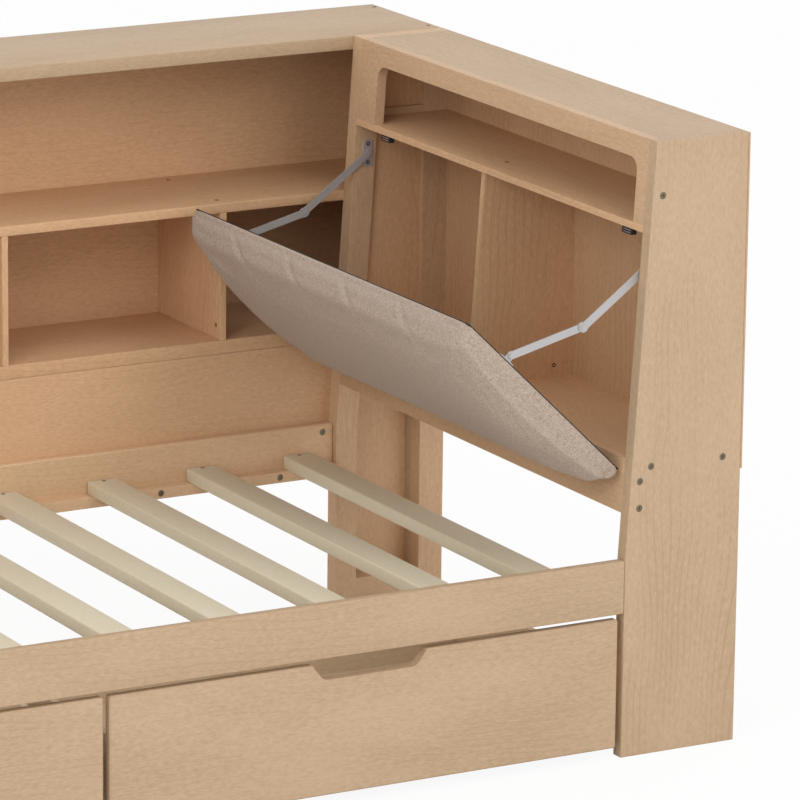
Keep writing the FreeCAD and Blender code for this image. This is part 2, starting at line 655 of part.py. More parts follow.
def make_drawer(side, x0, x1):
    y_box = y_front + DRAWER_FRONT_T
    y_rear = y_front + DRAWER_DEPTH
    front_top = rail_bottom - DRAWER_TOP_GAP
    front = board(x0, x1, y_front, y_box, DRAWER_FLOOR_GAP, front_top, SOFT_EDGE)
    middle = (x0 + x1) / 2
    notch_low = front_top - NOTCH_DEPTH
    notch = plate_xz(
        [(middle - NOTCH_BOTTOM / 2, notch_low), (middle + NOTCH_BOTTOM / 2, notch_low),
         (middle + NOTCH_TOP / 2, front_top), (middle - NOTCH_TOP / 2, front_top)], y_front, y_box)
    low_edges = [e for e in notch.Edges if abs(e.tangentAt(e.FirstParameter).y) > 0.9
                 and e.CenterOfMass.z < front_top - NOTCH_DEPTH / 2]
    save(side + "_front", front.cut(notch.makeFillet(NOTCH_RADIUS, low_edges)))

    left = x0 + DRAWER_BOX_INSET
    right = x1 - DRAWER_BOX_INSET
    bottom_z = box_bottom + DRAWER_BOTTOM_RISE
    bottom = Part.makeBox(
        right - left - 2 * (THIN_T - DRAWER_GROOVE), y_rear - y_box - THIN_T + DRAWER_GROOVE, DRAWER_BOTTOM_T,
        V(left + THIN_T - DRAWER_GROOVE, y_box, bottom_z))
    walls = [
        board(left, left + THIN_T, y_box, y_rear, box_bottom, DRAWER_BOX_TOP),
        board(right - THIN_T, right, y_box, y_rear, box_bottom, DRAWER_BOX_TOP),
        board(left + THIN_T, right - THIN_T, y_rear - THIN_T, y_rear, box_bottom, DRAWER_BOX_TOP),
    ]
    walls = [wall.cut(bottom) for wall in walls]
    save(side + "_sides", *walls[:2])
    save(side + "_back", walls[2])
    save(side + "_bottom", bottom)

    centres = [left + THIN_T / 2, right - THIN_T / 2]
    rows = {"front": y_box + CASTER_MARGIN, "rear": y_rear - CASTER_MARGIN}
    save(side + "_casters", *[fork(x, y) for y in rows.values() for x in centres])
    for row, y in rows.items():
        save(side + "_wheels_" + row, *[wheel(x, y) for x in centres])


def fork(x, y):
    """A caster housing: a plate with two cheeks that taper to a blunt end under the axle."""
    half = WHEEL_WIDTH / 2 + FORK_PLAY + FORK_WALL
    plate_low = box_bottom - FORK_PLATE_T
    plate = Part.makeBox(2 * half, FORK_LENGTH, FORK_PLATE_T, V(x - half, y - FORK_LENGTH / 2, plate_low))
    cheeks = []
    for x0 in (x - half, x + half - FORK_WALL):
        corners = [(y - FORK_LENGTH / 2, plate_low), (y + FORK_LENGTH / 2, plate_low), (y + FORK_DROP, WHEEL_R),
                   (y + FORK_DROP / 2, WHEEL_R - FORK_DROP), (y - FORK_DROP / 2, WHEEL_R - FORK_DROP),
                   (y - FORK_DROP, WHEEL_R)]
        wire = Part.makePolygon([V(x0, cy, cz) for cy, cz in corners + corners[:1]])
        cheeks.append(Part.Face(wire).extrude(V(FORK_WALL, 0, 0)))
    hole = rod_x(y, WHEEL_R, AXLE_R + AXLE_PLAY, x - half, x + half)
    return plate.fuse(cheeks).removeSplitter().cut(hole)


def wheel(x, y):
    half = WHEEL_WIDTH / 2
    tread = rod_x(y, WHEEL_R, WHEEL_R, x - half, x + half)
    axle_half = half + FORK_PLAY + FORK_WALL
    return tread.fuse(rod_x(y, WHEEL_R, AXLE_R, x - axle_half, x + axle_half)).removeSplitter()


def make_drawers():
    names = ["drawer_left", "drawer_right"]
    drawer_width = (inner_length - (DRAWER_COUNT + 1) * DRAWER_GAP) / DRAWER_COUNT
    for index, side in enumerate(names):
        x0 = x_foot + DRAWER_GAP + index * (drawer_width + DRAWER_GAP)
        make_drawer(side, x0, x0 + drawer_width)


def main():
    os.makedirs("parts", exist_ok=True)
    make_bookcase()
    make_base()
    make_head_ends()
    make_head_boards()
    make_bolts()
    make_catches()
    make_flap()
    make_stays()
    make_drawers()


main()
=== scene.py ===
# %% [markdown]
# # A corner daybed with a padded headboard flap
# The bed is built from flat boards in a light tan wood. A bookcase runs along its back, a second one makes the
# headboard, and a padded flap hangs from the headboard on folding stays. The solids arrive finished in size and
# place. This file gives them their looks: eased edges, wood grain, a stuffed cushion, small screws and light.

# %% Load the fixed frame
import bpy
import json
import math
from mathutils import Euler, Matrix, Vector

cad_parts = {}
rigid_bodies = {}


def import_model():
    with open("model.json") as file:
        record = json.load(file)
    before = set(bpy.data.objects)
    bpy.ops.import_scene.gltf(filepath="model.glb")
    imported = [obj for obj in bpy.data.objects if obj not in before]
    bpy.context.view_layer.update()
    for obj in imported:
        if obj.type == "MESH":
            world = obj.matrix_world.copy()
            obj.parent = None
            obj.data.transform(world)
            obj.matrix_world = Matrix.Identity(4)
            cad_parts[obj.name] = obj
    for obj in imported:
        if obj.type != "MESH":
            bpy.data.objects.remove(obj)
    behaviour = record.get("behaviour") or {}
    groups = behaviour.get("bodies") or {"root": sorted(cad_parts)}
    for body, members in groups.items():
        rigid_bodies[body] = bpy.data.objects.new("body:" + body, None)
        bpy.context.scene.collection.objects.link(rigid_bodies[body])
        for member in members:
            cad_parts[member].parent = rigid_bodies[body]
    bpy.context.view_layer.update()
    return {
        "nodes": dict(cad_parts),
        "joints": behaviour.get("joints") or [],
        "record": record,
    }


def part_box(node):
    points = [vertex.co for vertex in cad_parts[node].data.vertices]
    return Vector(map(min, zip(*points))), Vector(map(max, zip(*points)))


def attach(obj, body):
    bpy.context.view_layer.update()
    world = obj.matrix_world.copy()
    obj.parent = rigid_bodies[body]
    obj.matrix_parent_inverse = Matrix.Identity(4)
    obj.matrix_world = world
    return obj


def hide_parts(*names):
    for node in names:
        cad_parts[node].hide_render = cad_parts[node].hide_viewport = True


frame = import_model()
MM = 0.001
NODES = frame["nodes"]
BODY_OF = {}
for body_name, members in frame["record"]["behaviour"]["bodies"].items():
    for member in members:
        BODY_OF[member] = body_name

# %% [markdown]
# ## The camera
# Walls that stay upright in the picture tell us that the picture was taken from far away with a long lens. The
# camera stands in front of the foot end, looks along the bed to the headboard corner, and is tipped a little down.

# %% Camera
CAMERA_PLACE = Vector((-3.972, -8.473, 2.967))
CAMERA_TURN = math.radians(29.33)
CAMERA_TIP = math.radians(14.36)
CAMERA_ROLL = math.radians(0.67)
CAMERA_LENS = 259.2
CAMERA_REACH = 60.0

camera_data = bpy.data.cameras.new("camera")
camera_data.lens = CAMERA_LENS
camera_data.clip_end = CAMERA_REACH
camera = bpy.data.objects.new("camera", camera_data)
bpy.context.scene.collection.objects.link(camera)
aim = Euler((math.pi / 2 - CAMERA_TIP, 0, -CAMERA_TURN)).to_matrix() @ Matrix.Rotation(CAMERA_ROLL, 3, "Z")
camera.location = CAMERA_PLACE
camera.rotation_euler = aim.to_euler()
bpy.context.scene.camera = camera
print("camera", [round(v, 2) for v in CAMERA_PLACE], "lens", CAMERA_LENS)

# %% [markdown]
# ## Small helpers
# Operators act on whatever is selected, so each helper first clears the selection. A finished piece keeps its
# place in its mesh, with its object at the origin, so that a pattern in object coordinates stays where it is.

# %% Helpers for modelling
SMOOTH_ANGLE = math.radians(35)


def alone(piece):
    """Go to object mode with only this piece selected and active."""
    if bpy.context.mode != "OBJECT":
        bpy.ops.object.mode_set(mode="OBJECT")
    bpy.ops.object.select_all(action="DESELECT")
    piece.select_set(True)
    bpy.context.view_layer.objects.active = piece
    return piece


def settle(piece, name=None):
    """Write the piece's place into its mesh, and name it where a name is given."""
    alone(piece)
    bpy.ops.object.transform_apply(location=True, rotation=True, scale=True)
    if name:
        piece.name = name
        piece.data.name = name
    return piece


def apply_modifiers(piece):
    """Apply the piece's modifiers in their order."""
    alone(piece)
    for modifier in list(piece.modifiers):
        bpy.ops.object.modifier_apply(modifier=modifier.name)
    return piece


def start_box(low, high):
    """A cube between two corners, with its place applied."""
    bpy.ops.object.select_all(action="DESELECT")
    bpy.ops.mesh.primitive_cube_add(size=1, location=(low + high) / 2)
    piece = bpy.context.object
    piece.scale = high - low
    return settle(piece)


def bevel(piece, width, segments=3):
    """Round every edge, apply the modifier and smooth the result by angle."""
    modifier = piece.modifiers.new("rounding", "BEVEL")
    modifier.width = width
    modifier.segments = segments
    modifier.limit_method = "ANGLE"
    apply_modifiers(piece)
    bpy.ops.object.shade_smooth_by_angle(angle=SMOOTH_ANGLE)
    return piece


def together(pieces, name):
    """Join pieces into one mesh under one name."""
    alone(pieces[0])
    for piece in pieces:
        piece.select_set(True)
    bpy.ops.object.join()
    return settle(bpy.context.object, name)


def dress(piece, material):
    """Give the piece this material and no other."""
    piece.data.materials.clear()
    piece.data.materials.append(material)
    return piece


# %% [markdown]
# ## Helpers for materials
# A material is a small graph of nodes. The first helpers add a node with its settings, link sockets, and do sums, so
# that a pattern reads as a short list of steps. The others start a material or a node group. The last one coats a
# material with a group, which gives it colour, roughness and, through a bump, a little relief.


# %% Helpers for nodes
def add(tree, kind, **settings):
    """Add a node. Settings named after an input set that input, and others set the node's own property."""
    node = tree.nodes.new(kind)
    for key, value in settings.items():
        socket = key.replace("_", " ")
        names = [s.name for s in node.inputs if s.name.lower() == socket.lower()]
        if names and not hasattr(node, key):
            node.inputs[names[0]].default_value = value
        else:
            setattr(node, key, value)
    return node


def join(tree, *pairs):
    """Link each pair of sockets, from an output to an input."""
    for source, target in pairs:
        tree.links.new(source, target)


def reckon(tree, operation, *terms, kind="ShaderNodeMath", output=0, **settings):
    """Add a maths node. Each term is a socket to link or a value to set, in the order of the node's inputs."""
    node = add(tree, kind, operation=operation, **settings)
    for socket, term in zip(node.inputs, terms):
        if isinstance(term, bpy.types.NodeSocket):
            join(tree, (term, socket))
        else:
            socket.default_value = term
    return node.outputs[output]


def ranged(tree, value, source=(0, 1), target=(0, 1)):
    """Carry a value from one range to another, held between its ends."""
    node = add(tree, "ShaderNodeMapRange", From_Min=source[0], From_Max=source[1],
               To_Min=target[0], To_Max=target[1])
    join(tree, (value, node.inputs["Value"]))
    return node.outputs[0]


def noise(tree, vector, scale, detail, roughness, stretch=(1.0, 1.0, 1.0), output="Fac"):
    """Solid noise with so many grains to the metre, drawn out along an axis whose stretch is below one."""
    mapping = add(tree, "ShaderNodeMapping", Scale=stretch)
    texture = add(tree, "ShaderNodeTexNoise", Scale=scale, Detail=detail, Roughness=roughness)
    join(tree, (vector, mapping.inputs["Vector"]), (mapping.outputs[0], texture.inputs["Vector"]))
    return texture.outputs[output]


def blended(tree, share, first, second):
    """Go from the first colour to the second as the share goes from 0 to 1."""
    node = add(tree, "ShaderNodeMix", data_type="RGBA")
    join(tree, (share, node.inputs["Factor"]), (first, node.inputs["A"]), (second, node.inputs["B"]))
    return node.outputs["Result"]


# %% Helpers for materials and groups
def new_material(name, **principled):
    """A material with one Principled shader, with its constant values on the shader's own sockets."""
    material = bpy.data.materials.new(name)
    material.use_nodes = True
    tree = material.node_tree
    shader = tree.nodes["Principled BSDF"]
    for key, value in principled.items():
        shader.inputs[key].default_value = value
    return material, tree, shader


def new_group(name, inputs, outputs):
    """A shader node group with named sockets; returns the tree and its two end nodes."""
    tree = bpy.data.node_groups.new(name, "ShaderNodeTree")
    for socket, kind, value in inputs:
        made = tree.interface.new_socket(socket, in_out="INPUT", socket_type=kind)
        if value is not None:
            made.default_value = value
    for socket, kind in outputs:
        tree.interface.new_socket(socket, in_out="OUTPUT", socket_type=kind)
    return tree, tree.nodes.new("NodeGroupInput"), tree.nodes.new("NodeGroupOutput")


def object_place(tree, turn=(0, 0, 0), shift=(0, 0, 0)):
    """Object coordinates, turned and moved before a pattern reads them."""
    place = add(tree, "ShaderNodeTexCoord")
    mapping = add(tree, "ShaderNodeMapping", Rotation=turn, Location=shift)
    join(tree, (place.outputs["Object"], mapping.inputs["Vector"]))
    return mapping.outputs[0]


def coat(tree, shader, group, place, bump, **values):
    """Put a node group on a shader. The bump is its strength and its height in metres."""
    node = add(tree, "ShaderNodeGroup", node_tree=group)
    for key, value in values.items():
        node.inputs[key.replace("_", " ")].default_value = value
    strength, height = bump
    relief = add(tree, "ShaderNodeBump", Strength=strength, Distance=height)
    join(tree, (place, node.inputs["Vector"]), (node.outputs["Color"], shader.inputs["Base Color"]),
         (node.outputs["Height"], relief.inputs["Height"]), (relief.outputs[0], shader.inputs["Normal"]))
    if "Roughness" in node.outputs:
        join(tree, (node.outputs["Roughness"], shader.inputs["Roughness"]))


# %% [markdown]
# ## Wood grain as one node group
# The boards are veneered in a fine pale wood. Close up it has four layers: slow drifts of tone, small flecks,
# straight fibres that run with the board, and the faint arches of year rings cut at a slant. Solid noise stretched
# along one axis gives the fibres on faces and edges alike. The rings are distances from a log axis that lies beside
# the board, wobbled by noise, so they open into arches on a broad face. They show only where the drift is deep.

# %% Sizes of the grain
FIBRE = {"stretch": (0.22, 1.0, 1.0), "scale": 420.0, "detail": 3.0, "roughness": 0.6}
DRIFT = {"stretch": (0.28, 1.0, 1.0), "scale": 9.0, "detail": 3.0, "roughness": 0.55}
FLECK = {"stretch": (0.5, 1.0, 1.0), "scale": 150.0, "detail": 2.0, "roughness": 0.5}
WOBBLE = {"stretch": (0.5, 1.6, 1.6), "scale": 3.2, "detail": 2.0, "roughness": 0.45}
WOBBLE_REACH = (0.0, 0.11, 0.11)
LOG_TAPER = (0.035, 1.0, 1.0)
RING_TURNS = 620.0
RING_CREST = (0.55, 1.0)
RING_PATCHES = (0.42, 0.68)
FIBRE_SHARE = 0.95
DRIFT_SHARE = 0.50
FLECK_SHARE = 0.35
TONE_ENDS = (0.70, 1.15)
GRAIN_ROUGHNESS = (0.42, 0.58)
print("fibres to the metre", FIBRE["scale"], "flecks", FLECK["scale"])


# %% Wood grain group
def wood_grain_group():
    """Colour, roughness and height of a board whose grain runs along x."""
    tree, inlet, outlet = new_group(
        "wood grain",
        [("Vector", "NodeSocketVector", None), ("Pale", "NodeSocketColor", (0.6, 0.45, 0.3, 1)),
         ("Deep", "NodeSocketColor", (0.5, 0.34, 0.2, 1)), ("Rings", "NodeSocketFloat", 0.3)],
        [("Color", "NodeSocketColor"), ("Roughness", "NodeSocketFloat"), ("Height", "NodeSocketFloat")])
    place = inlet.outputs["Vector"]
    fibre = noise(tree, place, **FIBRE)
    drift = noise(tree, place, **DRIFT)
    fleck = noise(tree, place, **FLECK)
    wobble = noise(tree, place, output="Color", **WOBBLE)

    shoved = reckon(tree, "MULTIPLY_ADD", wobble, WOBBLE_REACH, place, kind="ShaderNodeVectorMath")
    tapered = reckon(tree, "MULTIPLY", shoved, LOG_TAPER, kind="ShaderNodeVectorMath")
    from_heart = reckon(tree, "LENGTH", tapered, kind="ShaderNodeVectorMath", output="Value")
    wave = reckon(tree, "SINE", reckon(tree, "MULTIPLY", from_heart, RING_TURNS))
    rings = reckon(tree, "MULTIPLY", ranged(tree, wave, RING_CREST), inlet.outputs["Rings"])
    tone = reckon(tree, "MULTIPLY", rings, ranged(tree, drift, RING_PATCHES))

    for layer, share in ((fibre, FIBRE_SHARE), (drift, DRIFT_SHARE), (fleck, FLECK_SHARE)):
        tone = reckon(tree, "MULTIPLY_ADD", layer, share, tone)
    color = blended(tree, ranged(tree, tone, TONE_ENDS), inlet.outputs["Pale"], inlet.outputs["Deep"])
    join(tree, (color, outlet.inputs["Color"]), (fibre, outlet.inputs["Height"]),
         (ranged(tree, fibre, target=GRAIN_ROUGHNESS), outlet.inputs["Roughness"]))
    return tree


WOOD_GRAIN = wood_grain_group()
print("grain group with", len(WOOD_GRAIN.nodes), "nodes")

# %% [markdown]
# ## Tan boards and pale slats
# Each board is cut with the grain along its length. Outer boards are tan. Boards inside the cases, the headboard's
# fascia, stiles, frame rails and apron, and the rear rail, its cleats and the case's leg panel are the same tan wood
# painted redder and warmer. This is painted shade, for the warm cast of the shade in those places. The drawer boxes
# and slats are a paler bare wood. One function makes a wood for a tone and a grain direction, and a board number
# moves it through the log so that no two boards look the same.

# %% Wood materials
TAN_PALE, TAN_DEEP = (0.545, 0.392, 0.252, 1), (0.445, 0.306, 0.188, 1)
# Painted shade: the middle, inner and rail tones are the tan wood made redder for the shade on the headboard's
# frame, inside the cases and at the bed's back rail.
HALF_SHADE_PALE, HALF_SHADE_DEEP = (0.645, 0.438, 0.272, 1), (0.525, 0.340, 0.198, 1)
INNER_SHADE_PALE, INNER_SHADE_DEEP = (0.735, 0.470, 0.276, 1), (0.600, 0.365, 0.200, 1)
RAIL_SHADE_PALE, RAIL_SHADE_DEEP = (0.745, 0.508, 0.315, 1), (0.620, 0.408, 0.238, 1)
DRAWER_PALE, DRAWER_DEEP = (0.730, 0.590, 0.425, 1), (0.640, 0.500, 0.345, 1)
SLAT_PALE, SLAT_DEEP = (0.715, 0.650, 0.500, 1), (0.655, 0.580, 0.425, 1)
FIRST_BOARD = {"tan": 1, "middle": 3, "inner_shade": 5, "rail": 7, "drawer": 9, "slat": 9}
TONES = {"tan": (TAN_PALE, TAN_DEEP), "middle": (HALF_SHADE_PALE, HALF_SHADE_DEEP), "inner_shade": (INNER_SHADE_PALE, INNER_SHADE_DEEP),
         "rail": (RAIL_SHADE_PALE, RAIL_SHADE_DEEP), "drawer": (DRAWER_PALE, DRAWER_DEEP), "slat": (SLAT_PALE, SLAT_DEEP)}
RINGS = {"x": 0.14, "y": 0.14, "z": 0.34}
SLAT_RINGS = 0.1
GRAIN_TURNS = {"x": (0, 0, 0), "y": (0, 0, -math.pi / 2), "z": (0, math.pi / 2, 0)}
BOARD_STEP = Vector((3.7, 0.43, 0.61))
WOOD_GLOSS = 0.28
WOOD_BUMP = (0.12, 0.4 * MM)
WOODS = {}


def wood(tone, grain, board):
    """The wood of one tone, grain direction and board, made when it is first asked for."""
    name = f"{tone} wood {grain} {board}"
    if name not in WOODS:
        WOODS[name], tree, shader = new_material(name, **{"Specular IOR Level": WOOD_GLOSS})
        place = object_place(tree, GRAIN_TURNS[grain], BOARD_STEP * (FIRST_BOARD[tone] + board))
        pale, deep = TONES[tone]
        rings = SLAT_RINGS if tone == "slat" else RINGS[grain]
        coat(tree, shader, WOOD_GRAIN, place, WOOD_BUMP, Pale=pale, Deep=deep, Rings=rings)
    return WOODS[name]


print("tones of wood", ", ".join(TONES))

# %% [markdown]
# ## Metal, plastic and the black backing
# The stays are pale painted steel, the bolts are nickel darkened to a dark brown for the shade in their sunk holes,
# which is painted shade, and the catches and casters are black plastic. Fine noise in the roughness and a trace of
# bump keep each from looking like one flat colour.

# %% Fine speckle group
SPECK = {"scale": 900.0, "detail": 3.0, "roughness": 0.6}
PATCH = {"scale": 40.0, "detail": 2.0, "roughness": 0.5}
SPECK_SHARE = 0.5
SPECKLE_MIDDLE = 0.75


def speckle_group():
    """A colour that shifts a little up and down, with roughness between two ends."""
    tree, inlet, outlet = new_group(
        "fine speckle",
        [("Vector", "NodeSocketVector", None), ("Color", "NodeSocketColor", (0.5, 0.5, 0.5, 1)),
         ("Shift", "NodeSocketFloat", 0.1), ("Rough Low", "NodeSocketFloat", 0.35),
         ("Rough High", "NodeSocketFloat", 0.5)],
        [("Color", "NodeSocketColor"), ("Roughness", "NodeSocketFloat"), ("Height", "NodeSocketFloat")])
    specks = noise(tree, inlet.outputs["Vector"], **SPECK)
    patches = noise(tree, inlet.outputs["Vector"], **PATCH)
    speckle = reckon(tree, "MULTIPLY_ADD", specks, SPECK_SHARE, patches)
    shift = reckon(tree, "MULTIPLY", reckon(tree, "SUBTRACT", speckle, SPECKLE_MIDDLE), inlet.outputs["Shift"])
    tint = add(tree, "ShaderNodeVectorMath", operation="SCALE")
    rough = add(tree, "ShaderNodeMapRange")
    join(tree, (inlet.outputs["Color"], tint.inputs[0]), (reckon(tree, "ADD", shift, 1.0), tint.inputs["Scale"]),
         (speckle, rough.inputs["Value"]), (inlet.outputs["Rough Low"], rough.inputs["To Min"]),
         (inlet.outputs["Rough High"], rough.inputs["To Max"]), (tint.outputs[0], outlet.inputs["Color"]),
         (rough.outputs[0], outlet.inputs["Roughness"]), (specks, outlet.inputs["Height"]))
    return tree


SPECKLE = speckle_group()
print("speckle group with", len(SPECKLE.nodes), "nodes")

# %% Speckled finishes
SPECKLE_HEIGHT = 0.2 * MM


def speckled(name, color, shift, rough, bump_strength=0.1, **principled):
    """A finish of one colour with fine speckle; rough gives the two ends of its roughness."""
    material, tree, shader = new_material(name, **principled)
    coat(tree, shader, SPECKLE, object_place(tree), (bump_strength, SPECKLE_HEIGHT),
         Color=color, Shift=shift, Rough_Low=rough[0], Rough_High=rough[1])
    return material


STAY_METAL = speckled("pale painted steel", (0.47, 0.455, 0.455, 1), 0.12, (0.34, 0.5), Metallic=0.35)
HINGE_METAL = speckled("zinc hinge", (0.60, 0.59, 0.57, 1), 0.15, (0.25, 0.42), Metallic=0.9)
# Painted shade: the nickel is darkened to the shade of the sunk bolt holes.
SHADED_BOLT_METAL = speckled("nickel with painted shade", (0.23, 0.195, 0.145, 1), 0.25, (0.3, 0.48), Metallic=0.85)
BLACK_PLASTIC = speckled("black plastic", (0.018, 0.018, 0.019, 1), 0.4, (0.38, 0.55), 0.2)
BLACK_BACKING = speckled("black backing", (0.012, 0.012, 0.013, 1), 0.5, (0.6, 0.8), 0.3)
# Painted shade: the near-black screw colour stands for the shade in the screw holes.
SCREW_HOLE_SHADE = speckled("screw with painted hole shade", (0.030, 0.021, 0.013, 1), 0.3, (0.45, 0.6), Metallic=0.3)
print("speckled finishes made")

# %% [markdown]
# ## Boards with eased edges
# A plain board is a cube at the size and place of its solid. Its edges are rounded over a millimetre or two with a
# three-step bevel, as a router leaves them, because a sharp edge never catches light. Boards with sunk bolts, slots
# or cut-outs keep their solids, which already have those holes. The thin panels at the wall take the redder inner
# tone, as painted shade, on the side that faces into the cases, and plain tan on their edges and backs, which show
# beside the outer boards.

# %% Boards made anew
EASED = 1.6 * MM
SOFT_EASED = 3.0 * MM
SKIN_EASED = 0.8 * MM
SLAT_COUNT = 10
SLAT_WOODS = 3
BOARDS = {
    "case_top": ("tan", "x", 0, EASED), "case_middle_shelf": ("inner_shade", "x", 1, EASED),
    "case_bottom_shelf": ("inner_shade", "x", 2, EASED), "case_back": ("inner_shade", "x", 3, EASED),
    "case_lower_panel": ("inner_shade", "x", 1, EASED), "case_corner_post": ("tan", "z", 1, EASED),
    "case_leg_panel": ("rail", "z", 2, EASED), "front_rail": ("tan", "x", 2, SOFT_EASED),
    "foot_panel": ("tan", "y", 1, SOFT_EASED), "head_back": ("inner_shade", "z", 3, SKIN_EASED),
}
SLATS = [f"slat_{number}" for number in range(1, SLAT_COUNT + 1)]
for number, node in enumerate(SLATS, 1):
    BOARDS[node] = ("slat", "y", number % SLAT_WOODS, SOFT_EASED)

for node, (tone, grain, board, edge) in BOARDS.items():
    low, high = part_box(node)
    piece = settle(bevel(start_box(low, high), edge), node + "_board")
    dress(piece, wood(tone, grain, board))
    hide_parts(node)
    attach(piece, BODY_OF[node])
print("boards made anew", len(BOARDS))

# %% Painted shade on the inner sides of the wall panels
INTO_BED = Vector((-1, 0, 0))
INTO_ROOM = Vector((0, -1, 0))
SHADE_SIDE_LIMIT = 0.5
WALL_PANELS = {"head_back": (INTO_BED, "z", 3), "case_back": (INTO_ROOM, "x", 3),
               "case_lower_panel": (INTO_ROOM, "x", 1)}
# Faces turned into the cases keep the redder inner tone as painted shade; all other faces get plain tan.
for node, (shade_side, grain, board) in WALL_PANELS.items():
    panel = bpy.data.objects[node + "_board"].data
    panel.materials.append(wood("tan", grain, board))
    for face in panel.polygons:
        face.material_index = 0 if face.normal.dot(shade_side) > SHADE_SIDE_LIMIT else 1
print("wall panels with plain outer sides", len(WALL_PANELS))

# %% Solids that keep their shape
KEPT_WOODS = {
    "case_dividers": ("inner_shade", "z", 0), "case_ends": ("tan", "z", 1), "rear_rail": ("rail", "x", 0),
    "cleats": ("rail", "x", 3), "head_end_front": ("tan", "z", 2), "head_stile_bed": ("middle", "z", 3),
    "head_stile_wall": ("middle", "z", 0), "head_frame_rails": ("middle", "x", 2),
    "head_frame_panel": ("inner_shade", "z", 1), "head_top": ("tan", "y", 0), "head_fascia": ("middle", "y", 1),
    "head_shelf": ("inner_shade", "y", 2), "head_divider": ("inner_shade", "z", 2), "head_floor": ("inner_shade", "y", 3),
    "head_apron": ("middle", "y", 0), "flap_board": ("tan", "y", 1),
}
for number, side in enumerate(("drawer_left", "drawer_right")):
    KEPT_WOODS[side + "_front"] = ("tan", "x", number)
    KEPT_WOODS[side + "_sides"] = ("drawer", "y", number + 2)
    KEPT_WOODS[side + "_back"] = ("drawer", "x", number + 2)
    KEPT_WOODS[side + "_bottom"] = ("drawer", "x", 3 - number)
for node, (tone, grain, board) in KEPT_WOODS.items():
    dress(NODES[node], wood(tone, grain, board))

HARDWARE = {
    "bolts": SHADED_BOLT_METAL, "head_catches": BLACK_PLASTIC, "flap_backing": BLACK_BACKING,
    "hinge_leaves_fixed": HINGE_METAL, "hinge_leaves_flap": HINGE_METAL, "flap_fittings": STAY_METAL,
    "stay_mounts": STAY_METAL, "stay_upper_arms": STAY_METAL, "stay_lower_arms": STAY_METAL,
}
for node in NODES:
    if "casters" in node or "wheels" in node:
        HARDWARE[node] = BLACK_PLASTIC
for node, finish in HARDWARE.items():
    dress(NODES[node], finish)
print("solids dressed", len(KEPT_WOODS) + len(HARDWARE), "with", len(WOODS), "woods in all")

# %% [markdown]
# ## The stuffed cushion
# The flap's pad is foam under a woven cover that is stapled round a board. Foam pushes the cover out everywhere it
# isn't held, so the honest way is to let it swell: a box is shaped into a slightly thin pad, remeshed into even
# squares, and blown up as cloth with its underside pinned to the board. The lower edge noses out under the hinge.
# Where the cover is drawn over the upper edge it gathers into a few soft crescents, which are pressed in afterwards.

# %% The flap's own frame
FLAP_ANGLE = math.radians(43.8)
flap_tilt = next(joint for joint in frame["joints"] if joint["name"] == "flap_tilt")
HINGE = Vector(flap_tilt["pos_m"])
flap_along = Vector((-math.cos(FLAP_ANGLE), 0, math.sin(FLAP_ANGLE)))
flap_out = Vector((-math.sin(FLAP_ANGLE), 0, -math.cos(FLAP_ANGLE)))
FLAP = Matrix((flap_along, Vector((0, 1, 0)), flap_out)).transposed().to_4x4()
FLAP.translation = (HINGE.x, 0, HINGE.z)
print("hinge", [round(v, 4) for v in HINGE])

# %% Sizes of the pad
UNDERSIDE = 1.8 * MM
PAD_START = 5.0 * MM
PAD_END = 408.6 * MM
PAD_NEAR = -616.0 * MM
PAD_FAR = 353.0 * MM
TOP_EDGE = 33.0 * MM
TOP_NOSE = 6.0 * MM
HINGE_EDGE = 38.0 * MM
HINGE_NOSE = 12.0 * MM
NOSE_RUN = 30.0 * MM
NOSE_FLATNESS = 0.6
PAD_SHOULDER = 57.0 * MM
PAD_CROWN = 73.0 * MM
SHOULDER_RUN = 26.0 * MM
END_ROUND = 15.0 * MM
END_SLACK = 0.32
CORNER_INSET = 5.0 * MM
UNDER_INSET = 0.5 * MM
START_SHARE = 0.95
PAD_CUTS = 40
pad_middle = (PAD_START + PAD_END) / 2
half_run = (PAD_END - PAD_START) / 2
print("pad", round(2 * half_run / MM, 1), "by", round((PAD_FAR - PAD_NEAR) / MM, 1), "mm")


# %% Shape the pad before it is filled
def pad_height(from_edge, edge):
    """How thick the pad is at a distance from a long edge: a quarter round, then a slow crown."""
    if from_edge < SHOULDER_RUN:
        return edge + (PAD_SHOULDER - edge) * math.sqrt(1 - (1 - from_edge / SHOULDER_RUN) ** 2)
    shade_side = 1 - (from_edge - SHOULDER_RUN) / (half_run - SHOULDER_RUN)
    return PAD_SHOULDER + (PAD_CROWN - PAD_SHOULDER) * (1 - shade_side ** 2)


pad = start_box(Vector((PAD_START, PAD_NEAR, UNDERSIDE)), Vector((PAD_END, PAD_FAR, UNDERSIDE + PAD_CROWN)))
pad.name = "cushion"
bpy.ops.object.mode_set(mode="EDIT")
bpy.ops.mesh.select_all(action="SELECT")
bpy.ops.mesh.subdivide(number_cuts=PAD_CUTS)
bpy.ops.object.mode_set(mode="OBJECT")
for vertex in pad.data.vertices:
    x, y, z = vertex.co
    level = (z - UNDERSIDE) / PAD_CROWN
    from_end = max(0.0, min(y - PAD_NEAR, PAD_FAR - y))
    slack = math.exp(-from_end / END_ROUND)
    across = (x - pad_middle) / half_run
    run = half_run - CORNER_INSET * slack - UNDER_INSET * (1 - level) ** 2
    from_edge = max(0.0, 1 - abs(across)) * half_run
    edge, nose = (HINGE_EDGE, -HINGE_NOSE) if across < 0 else (TOP_EDGE, TOP_NOSE)
    height = pad_height(from_edge, edge) * (1 - END_SLACK * slack) * START_SHARE
    bulge = max(0.0, math.sin(math.pi * level)) ** NOSE_FLATNESS * math.exp(-from_edge / NOSE_RUN)
    vertex.co = (pad_middle + across * run + nose * bulge, y, UNDERSIDE + level * height)
pad.data.update()
print("pad shaped with", len(pad.data.vertices), "points")

